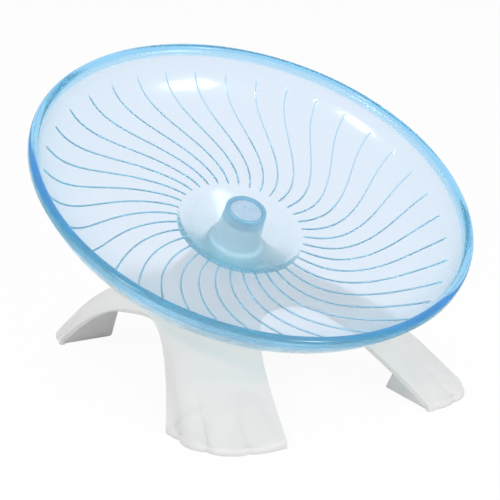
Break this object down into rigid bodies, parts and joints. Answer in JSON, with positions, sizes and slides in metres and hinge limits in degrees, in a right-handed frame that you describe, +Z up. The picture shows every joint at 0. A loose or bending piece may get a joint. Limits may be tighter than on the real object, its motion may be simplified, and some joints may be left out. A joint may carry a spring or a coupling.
{
  "type": "pet exercise wheel",
  "caption": "Round running dish with S-curved ribs, spinning on a tilted axle above a moulded stand with arched legs and toed feet.",
  "frame": {"origin": "on the ground, under the middle of the whole wheel's box", "axes": "+Z up, +X downhill, the way the dish leans, +Y across the slope"},
  "size_m": [0.1718, 0.1794, 0.1263],
  "materials": {
    "milky_plastic": "satin, slightly see-through",
    "clear_blue_plastic": "polished, see-through",
    "pale_cap_plastic": "smooth",
    "slippery_plastic": "smooth",
    "steel": "turned"
  },
  "bodies": {
    "stand": {"stand": "milky_plastic", "spindle_bolt": "steel", "spindle_washer": "steel", "thrust_washer": "slippery_plastic", "spacer_sleeve": "steel", "bearing_inner_ring": "steel", "nut_washer": "steel", "lock_nut": "steel"},
    "dish": {"running_dish": "clear_blue_plastic", "hub_cap": "pale_cap_plastic", "bearing_outer_ring": "steel", "bearing_keeper": "slippery_plastic"},
    "balls": {"bearing_cage": "slippery_plastic", "bearing_ball_1": "steel", "bearing_ball_2": "steel", "bearing_ball_3": "steel", "bearing_ball_4": "steel", "bearing_ball_5": "steel", "bearing_ball_6": "steel", "bearing_ball_7": "steel"}
  },
  "joints": [
    {"name": "dish_spin", "type": "hinge", "parent": "stand", "child": "dish", "pos_m": [-0.00661, 0, 0.05545], "axis": [0.5, 0, 0.866], "continuous": true},
    {"name": "cage_spin", "type": "hinge", "parent": "stand", "child": "balls", "pos_m": [-0.00661, 0, 0.05545], "axis": [0.5, 0, 0.866], "continuous": true}
  ],
  "couplings": [
    {"joint": "cage_spin", "follows": "dish_spin", "ratio": 0.6149}
  ]
}
